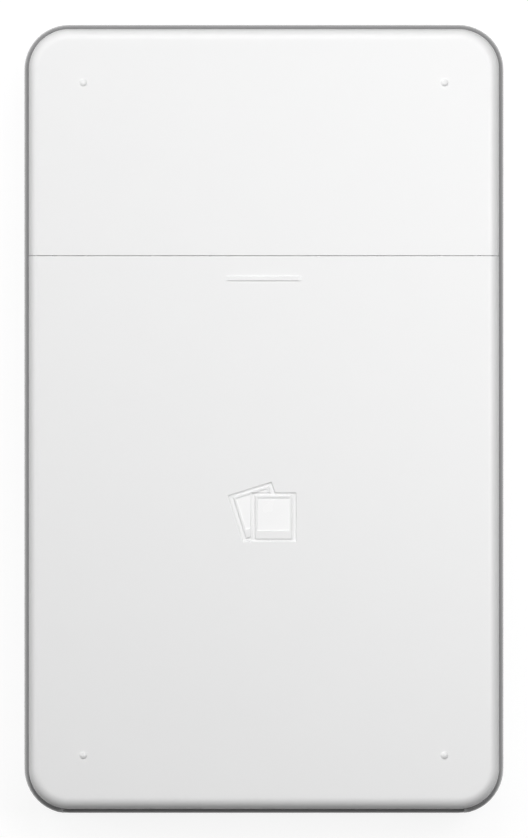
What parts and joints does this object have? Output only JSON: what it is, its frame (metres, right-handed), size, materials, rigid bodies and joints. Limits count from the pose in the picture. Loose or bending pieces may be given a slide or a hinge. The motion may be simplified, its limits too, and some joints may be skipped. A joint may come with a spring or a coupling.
{
  "type": "compact photo printer",
  "caption": "Flat pocket-size photo printer with a sliding paper cover on its rear face, a paper bay, a roller and thermal-head print mechanism, a battery and a side band.",
  "frame": {"origin": "centre of the outline, at the front face that the printer lies on", "axes": "+Z from the front face to the rear face with the paper cover, +Y along the paper path towards the paper exit, +X to the gear side"},
  "size_m": [0.08, 0.1316, 0.0193],
  "materials": {
    "cover_white": "fine spark-eroded texture, white ABS",
    "band_silver": "satin metallic grey paint",
    "black_plastic": "satin black moulding",
    "plate_plastic": "dark grey moulding with ribs",
    "steel": "cold-rolled sheet",
    "spring_steel": "drawn wire",
    "bronze": "sintered bronze",
    "brass": "turned brass",
    "roller_rubber": "ground rubber",
    "tyre_rubber": "ribbed rubber",
    "acetal": "natural acetal",
    "cork": "fine cork",
    "magnet": "nickel plate",
    "pad": "polyurethane",
    "alumina": "ceramic bar with dark glaze line",
    "aluminium": "extruded aluminium",
    "board_green": "solder mask over copper tracks",
    "chip": "moulded epoxy",
    "tantalum": "moulded capacitors",
    "connector": "connector moulding",
    "pouch": "laminated foil pouch",
    "lead_insulation": "red and black insulation",
    "motor_sleeve": "shrink sleeve",
    "flex": "flat flexible cable with tinned ends",
    "button": "satin silver key",
    "light_pipe": "clear rod",
    "led": "small lamp",
    "screw": "black zinc"
  },
  "bodies": {
    "body": {"front_cover": "cover_white", "mid_frame": "band_silver", "rear_cover": "cover_white", "paper_tray": "black_plastic", "left_side_plate": "steel", "right_side_plate": "steel", "tie_bar": "steel", "feed_gate": "black_plastic", "separation_pad": "pad", "lower_guide": "black_plastic", "exit_guide": "black_plastic", "platen_bushings": "bronze", "pickup_bushings": "bronze", "gear_posts": "steel", "gear_clips": "black_plastic", "gear_cover": "black_plastic", "motor_can": "steel", "motor_flange": "steel", "motor_leads": "motor_sleeve", "head_pins": "steel", "head_springs": "spring_steel", "head_flex": "flex", "main_pcb": "board_green", "shield_can": "steel", "pcb_chips": "chip", "capacitors": "tantalum", "flex_connector": "connector", "battery_socket": "connector", "battery_cell": "pouch", "battery_board": "board_green", "battery_leads": "lead_insulation", "usb_shell": "steel", "usb_tongue": "chip", "tact_switch": "steel", "light_pipe": "light_pipe", "status_led": "led", "paper_sensor": "chip", "short_screws": "screw", "tray_screws": "screw"},
    "paper_cover": {"paper_cover": "cover_white", "plate_springs": "spring_steel", "cover_magnet": "magnet"},
    "pressure_plate": {"pressure_plate": "plate_plastic", "plate_pad": "cork"},
    "platen": {"platen_shaft": "steel", "platen_rubber": "roller_rubber", "platen_gear": "acetal"},
    "pickup": {"pickup_shaft": "steel", "pickup_hubs": "acetal", "pickup_tyres": "tyre_rubber", "pickup_gear": "acetal"},
    "front_idler": {"front_idler_gear": "acetal"},
    "rear_idler": {"rear_idler_gear": "acetal"},
    "compound": {"compound_gear": "acetal"},
    "motor_rotor": {"motor_shaft": "steel", "motor_pinion": "brass"},
    "print_head": {"thermal_head": "alumina", "head_heatsink": "aluminium", "head_connector": "connector"},
    "power_button": {"power_button": "button"}
  },
  "joints": [
    {"name": "paper_cover_slide", "type": "slide", "parent": "body", "child": "paper_cover", "axis": [0, -1, 0], "range_m": [0, 0.095]},
    {"name": "pressure_plate_swing", "type": "hinge", "parent": "paper_cover", "child": "pressure_plate", "pos_m": [0, -0.02, 0.0145], "axis": [1, 0, 0], "range_deg": [0, 2.5], "stiffness_Nm_per_rad": 0.05, "springref_deg": -17.19, "deforming": ["plate_springs"]},
    {"name": "platen_spin", "type": "hinge", "parent": "body", "child": "platen", "pos_m": [0, 0.052, 0.0124], "axis": [1, 0, 0], "continuous": true},
    {"name": "pickup_spin", "type": "hinge", "parent": "body", "child": "pickup", "pos_m": [0, 0.024, 0.006], "axis": [1, 0, 0], "continuous": true},
    {"name": "front_idler_spin", "type": "hinge", "parent": "body", "child": "front_idler", "pos_m": [0, 0.04282, 0.0096], "axis": [1, 0, 0], "continuous": true},
    {"name": "rear_idler_spin", "type": "hinge", "parent": "body", "child": "rear_idler", "pos_m": [0, 0.03171, 0.01102], "axis": [1, 0, 0], "continuous": true},
    {"name": "compound_spin", "type": "hinge", "parent": "body", "child": "compound", "pos_m": [0, 0.05704, 0.00784], "axis": [1, 0, 0], "continuous": true},
    {"name": "motor_spin", "type": "hinge", "parent": "body", "child": "motor_rotor", "pos_m": [0, 0.06, 0.0134], "axis": [1, 0, 0], "continuous": true},
    {"name": "print_head_swing", "type": "hinge", "parent": "body", "child": "print_head", "pos_m": [0, 0.0446, 0.0054], "axis": [1, 0, 0], "range_deg": [-2.5, 0], "stiffness_Nm_per_rad": 0.05, "springref_deg": 11.46, "deforming": ["head_springs"]},
    {"name": "power_button_press", "type": "slide", "parent": "body", "child": "power_button", "axis": [0, 1, 0], "range_m": [0, 0.00035], "stiffness_N_per_m": 800, "springref_m": -0.0002}
  ],
  "couplings": [
    {"joint": "front_idler_spin", "follows": "platen_spin", "ratio": -0.71429},
    {"joint": "rear_idler_spin", "follows": "platen_spin", "ratio": 0.71429},
    {"joint": "pickup_spin", "follows": "platen_spin", "ratio": -1.1111},
    {"joint": "compound_spin", "follows": "platen_spin", "ratio": -1.4286},
    {"joint": "motor_spin", "follows": "platen_spin", "ratio": 3.5714}
  ]
}
